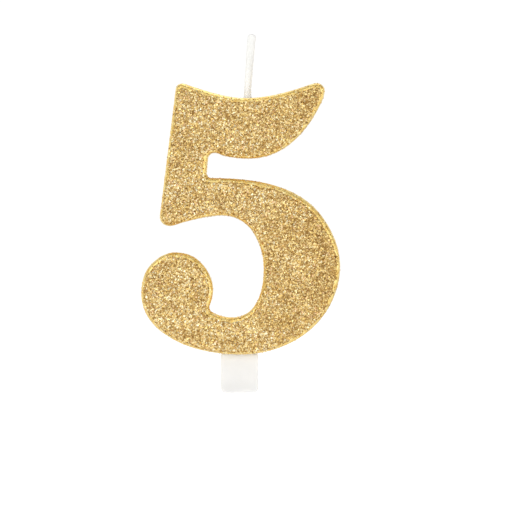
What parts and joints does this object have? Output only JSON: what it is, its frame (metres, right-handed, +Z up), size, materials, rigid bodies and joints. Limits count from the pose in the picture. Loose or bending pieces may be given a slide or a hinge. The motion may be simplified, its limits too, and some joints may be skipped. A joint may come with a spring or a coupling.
{
  "type": "number birthday candle",
  "caption": "Figure-five birthday candle: flat moulded wax numeral with a gold film and glitter faces, a short braided wick on top and a white plastic tab below.",
  "frame": {"origin": "centre of the tab's flat end face", "axes": "+Z up from the tab to the wick, -Y to the front, where the figure reads the right way round, +X to the right as seen from the front"},
  "size_m": [0.0514, 0.01, 0.0932],
  "materials": {
    "wax": "ivory paraffin wax",
    "gold_film": "smooth metallic gold lacquer",
    "glitter": "fine gold glitter in a clear binder",
    "wick": "braided bleached cotton",
    "wick_wax": "thin white priming wax",
    "tab": "smooth white moulded plastic"
  },
  "bodies": {
    "root": {"wax_body": "wax", "gold_film": "gold_film", "front_glitter": "glitter", "back_glitter": "glitter", "wick": "wick", "wick_wax": "wick_wax", "base_tab": "tab"}
  },
  "joints": []
}
